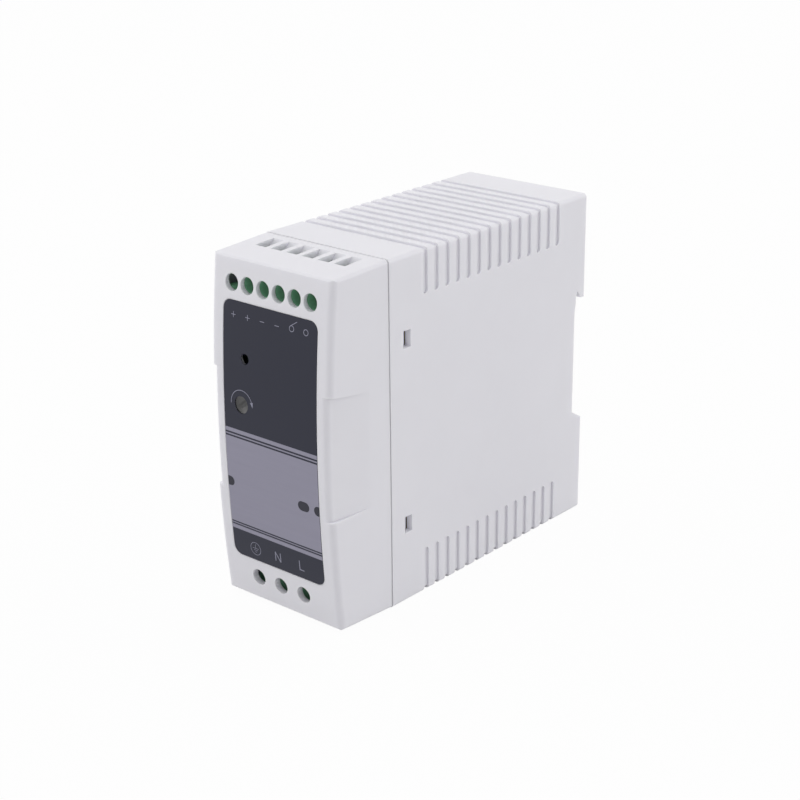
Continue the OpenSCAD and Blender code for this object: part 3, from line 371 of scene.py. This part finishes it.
# Front label
# A thin dark film in a recess of the cover, printed from the back, bent to the bow of the front.
# It has a satin skin with a very fine emboss.
film = (0.0075, 0.009, 0.0255)
press_streak = (40.0, 40.0, 900.0)


def printed_film(name, colour, roughness):
    """Printed film: an even ink under a skin with a fine emboss and faint streaks from the press."""
    finish = Finish(name, {"IOR": 1.45, "Specular IOR Level": 0.42})
    emboss = finish.noise(0.18 * MM, 1.0)
    lengthwise = finish.node("ShaderNodeMapping", {}, {"Vector": finish.place, "Scale": press_streak})
    press = finish.node("ShaderNodeTexNoise", {}, {"Vector": lengthwise, "Scale": 1.0, "Detail": 2.0})
    finish.vary("Base Color", finish.mix(press, shade(colour, 0.96), shade(colour, 1.04)))
    finish.vary("Roughness", roughness - 0.04 + 0.08 * emboss)
    finish.vary("Normal", finish.bump(emboss, 0.006 * MM))
    return finish.material


coat(printed_film("label_film", film, 0.42), "front_label")

# Print on the label
# A lilac-grey field between thin rules, three dark spots in it, and light signs for the terminals
# and the trimmer. Each is a layer of ink a few thousandths of a millimetre thick.
bow_r = 375 * MM
label_sink = 0.02 * MM
ink_lift = 0.006 * MM
ink_thick = 0.004 * MM
front_y = cad_box[0][1]
mid_z = (cad_box[0][2] + cad_box[1][2]) / 2
label_low, label_high = (np.array(corner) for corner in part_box("front_label"))


def ink(name, patches, lift, material):
    """A layer of ink on the label's face. Each patch is flat places [x, z] and faces; the face is an
    arc of the bow's radius about mid height, and a point lies on it at its own x and z."""
    counts = np.cumsum([0] + [len(flat) for flat, _ in patches])
    flat = np.concatenate([flat for flat, _ in patches])
    faces = np.concatenate([faces + start for (_, faces), start in zip(patches, counts)])
    fall = bow_r - np.sqrt(bow_r**2 - (flat[:, 1] - mid_z) ** 2)
    points = np.stack([flat[:, 0], front_y + fall + label_sink - lift, flat[:, 1]], -1)
    piece = mesh_piece(name, points, faces, material, smooth=False)
    layer = piece.modifiers.new("thickness", "SOLIDIFY")
    layer.thickness = ink_thick
    layer.offset = -1.0
    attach(piece, "housing")
    return piece


def strip_faces(rows, columns):
    """Quads between neighbouring rows of a grid of places, wound to face the front."""
    row, column = np.meshgrid(np.arange(rows - 1), np.arange(columns - 1), indexing="ij")
    start = (row * columns + column).ravel()
    return np.stack([start, start + 1, start + columns + 1, start + columns], -1)


def band(x0, x1, z0, z1):
    """A rectangle of print, cut into short steps in height so that it follows the bow."""
    steps = 2 + int((z1 - z0) / (1.5 * MM))
    z, x = np.meshgrid(np.linspace(z0, z1, steps), (x0, x1), indexing="ij")
    return np.stack([x.ravel(), z.ravel()], -1), strip_faces(steps, 2)


def stroke(path, width):
    """A line of even width: each place on the path is moved half the width to both sides, along the
    mitre of its two neighbouring stretches."""
    along = np.diff(path, axis=0)
    along /= np.linalg.norm(along, axis=1, keepdims=True)
    side = np.stack([-along[:, 1], along[:, 0]], -1)
    closed = np.allclose(path[0], path[-1])
    before = np.concatenate([side[-1:] if closed else side[:1], side])
    after = np.concatenate([side, side[:1] if closed else side[-1:]])
    mitre = (before + after) / (1 + (before * after).sum(1, keepdims=True)) * width / 2
    return np.stack([path + mitre, path - mitre], 1).reshape(-1, 2), strip_faces(len(path), 2)


def arc(x, z, radius, start, end):
    """Places round a circle between two angles in degrees, about one for each 6 degrees."""
    angle = np.radians(np.linspace(start, end, 2 + int(abs(end - start) / 6)))
    return np.stack([x + radius * np.cos(angle), z + radius * np.sin(angle)], -1)


def spot(x, z, left, right, height):
    """A filled spot with round ends: level rows from its left outline to its right one, which reach
    this far from its middle. A side that reaches nowhere is straight."""
    rise = np.radians(np.linspace(-90, 90, 19))
    bulge = height / 2 * (np.cos(rise) - 1)
    ends = [np.where(reach > 0, reach + bulge, 0) for reach in (left, right)]
    level = z + height / 2 * np.sin(rise)
    rows = np.stack([x - ends[0], level, x + ends[1], level], -1)
    return rows.reshape(-1, 2), strip_faces(len(rise), 2)


field_grey = (0.277, 0.268, 0.345)
field_edges = ((45.48, 46.48), (44.68, 45.03), (21.28, 44.23), (20.63, 20.88), (19.18, 20.23))
ink("label_field", [band(label_low[0], label_high[0], low * MM, high * MM) for low, high in field_edges],
    ink_lift, printed_film("field_ink", field_grey, 0.45))

spot_h = 2.5 * MM
spot_x, spot_z = 10.2 * MM, 32.1 * MM
half_spot, left_spot, right_spot = 1.85 * MM, 2.1 * MM, 1.65 * MM
spots = [spot(spot_x, spot_z, half_spot, half_spot, spot_h),
         spot(label_low[0], spot_z, 0, left_spot, spot_h),
         spot(label_high[0], spot_z, right_spot, 0, spot_h)]
ink("label_spots", spots, 2 * ink_lift, printed_film("spot_ink", (0.018, 0.018, 0.032), 0.45))

sign_w, letter_w, earth_w = 0.16 * MM, 0.24 * MM, 0.12 * MM
sign_ink = printed_film("sign_ink", (0.27, 0.27, 0.35), 0.45)


def lines(x, z, paths, width):
    """Straight strokes about a place on the label, all in millimetres from it."""
    return [stroke((np.array(path, float) + (x, z)) * MM, width) for path in paths]


def ring(x, z, radius, width, start=0, end=360):
    """A stroke round a circle or a part of it, in millimetres and degrees."""
    return stroke(arc(x * MM, z * MM, radius * MM, start, end), width)


plus_x, minus_x, pole_z = (-11.9, -7.2), (-2.4, 2.4), 75.3
contact_x, circle_x, circle_z, circle_r = 7.15, 11.68, 75.65, 0.7
bar, post = [(-0.7, 0), (0.7, 0)], [(0, -0.7), (0, 0.7)]
lever = [(-0.47, 0.57), (1.65, 1.9)]
signs = [patch for x in plus_x for patch in lines(x, pole_z, [bar, post], sign_w)]
signs += [patch for x in minus_x for patch in lines(x, pole_z, [bar], sign_w)]
signs += [ring(x, circle_z, circle_r, sign_w) for x in (contact_x, circle_x)]
signs += lines(contact_x, circle_z, [lever], sign_w)
ink("label_output_signs", signs, ink_lift, sign_ink)

trimmer_x, trimmer_z, sweep_r = -9.3, 53.37, 3.54
sweep = [ring(trimmer_x, trimmer_z, sweep_r, sign_w, 185, 18)]
arrow = np.array([[3.68, -0.15], [3.76, 1.3], [3.34, 1.1], [2.88, 1.06]])
sweep.append(((arrow + (trimmer_x, trimmer_z)) * MM, np.array([[0, 1, 2, 3]])))
ink("label_trimmer_sign", sweep, ink_lift, sign_ink)

earth_x, earth_z, earth_r = -7.7, 15.2, 1.7
earth = [[(0, 1.2), (0, 0.1)]]
earth += [[(-half, z), (half, z)] for half, z in ((1.0, 0.1), (0.65, -0.4), (0.3, -0.9))]
signs = [ring(earth_x, earth_z, earth_r, earth_w), *lines(earth_x, earth_z, earth, earth_w)]
neutral_x, neutral_z, live_x, live_z, cap_half = 0, 15.3, 8.0, 15.45, 1.25
upright = [(-0.85, -cap_half), (-0.85, cap_half)]
slant = [(-0.85, cap_half), (0.85, -cap_half)]
neutral = [upright, slant, [(0.85, -cap_half), (0.85, cap_half)]]
live = [(-0.7, cap_half), (-0.7, -cap_half), (0.75, -cap_half)]
signs += lines(neutral_x, neutral_z, neutral, letter_w) + lines(live_x, live_z, [live], letter_w)
ink("label_input_signs", signs, ink_lift, sign_ink)

# Table
# A white table that runs out of sight. Where nothing shades it, it is as white as the room behind
# it, and it keeps the soft shadow of the unit.
table_reach = 4.0
table_z = -0.05 * MM
table_glow = 0.96
table_finish = Finish("table_white", {"Roughness": 0.9, "Specular IOR Level": 0.0})
table_tone = table_finish.mix(table_finish.noise(0.4), (0.74, 0.74, 0.74, 1.0), (0.76, 0.76, 0.76, 1.0))
table_finish.vary("Base Color", table_tone)


def looked_at(graph):
    """1 for rays that end in the picture: straight from the camera, mirrored, or through glass."""
    ray = graph.node("ShaderNodeLightPath", {}, {}).socket.node.outputs
    straight, mirrored, through = (
        Wire(graph, ray[kind]) for kind in ("Is Camera Ray", "Is Glossy Ray", "Is Transmission Ray"))
    return straight.math("MAXIMUM", straight.math("MAXIMUM", straight, mirrored), through)


glow = table_finish.node("ShaderNodeEmission", {}, {"Color": (1.0, 1.0, 1.0, 1.0), "Strength": 1.0})
shaded = Wire(table_finish, table_finish.shader.outputs[0])
lit = table_finish.node("ShaderNodeMixShader", {},
                        {0: table_glow * looked_at(table_finish), 1: shaded, 2: glow})
table_finish.tree.links.new(lit.socket, table_finish.tree.nodes["Material Output"].inputs["Surface"])
corners = np.array([[-1, -1, 0], [1, -1, 0], [1, 1, 0], [-1, 1, 0]]) * table_reach + (0, 0, table_z)
mesh_piece("table", corners, np.array([[0, 1, 2, 3]]), table_finish.material, smooth=False)

# Room and lamps
# A bright white room does most of the lighting. It is dimmer on the side the unit is seen from, and
# two soft lamps stand to the left and to the right, so the rounded front edges show between them.
room_light = 0.92
dim_share = 0.4
dim_side = (0.62, -0.70, 0.35)
room = bpy.data.worlds.new("room")
room.use_nodes = True
bpy.context.scene.world = room
room_nodes = Nodes(room.node_tree)
backdrop = room.node_tree.nodes["Background"]
backdrop.inputs["Color"].default_value = (1.0, 1.0, 1.0, 1.0)
way = room_nodes.node("ShaderNodeTexCoord", {}, {}, "Generated")
ahead = room_nodes.node("ShaderNodeVectorMath", {"operation": "DOT_PRODUCT"},
                        {0: way, 1: dim_side}, "Value")
ahead = ahead.math("MAXIMUM", ahead, 0.0)
ambient = room_light * (1 - dim_share * ahead * ahead)
brightness = ambient + (1 - ambient) * looked_at(room_nodes)
room_nodes.tree.links.new(brightness.socket, backdrop.inputs["Strength"])

unit_middle = Vector((0, 0, 45 * MM))
lamp_side = 1.2
lamps = (("left_lamp", (-1.3, -0.9, 0.55), 5.6),
         ("right_lamp", (1.1, 1.1, 0.6), 4.8),
         ("overhead_lamp", (-0.2, -0.3, 1.6), 1.0))
for name, place, power in lamps:
    lamp = bpy.data.lights.new(name, "AREA")
    lamp.size = lamp_side
    lamp.energy = power
    holder = bpy.data.objects.new(name, lamp)
    holder.location = place
    holder.rotation_euler = (unit_middle - holder.location).to_track_quat("-Z", "Y").to_euler()
    bpy.context.scene.collection.objects.link(holder)

# Camera
# It stands in front of the unit, to the right and above, and looks down at it through a long lens. It
# is tilted by half a degree.
camera_place = Vector((274.82, -320.64, 203.35)) * MM
yaw, pitch, roll = np.radians((40.831, 20.912, -0.591))
camera_lens = bpy.data.cameras.new("camera")
camera_lens.sensor_width = 36.0
camera_lens.lens = 78.595
camera = bpy.data.objects.new("camera", camera_lens)
camera.matrix_world = (Matrix.Translation(camera_place) @ Matrix.Rotation(yaw, 4, "Z")
                       @ Matrix.Rotation(np.pi / 2 - pitch, 4, "X") @ Matrix.Rotation(roll, 4, "Z"))
bpy.context.scene.collection.objects.link(camera)
bpy.context.scene.camera = camera
bpy.context.scene.view_settings.view_transform = "Standard"
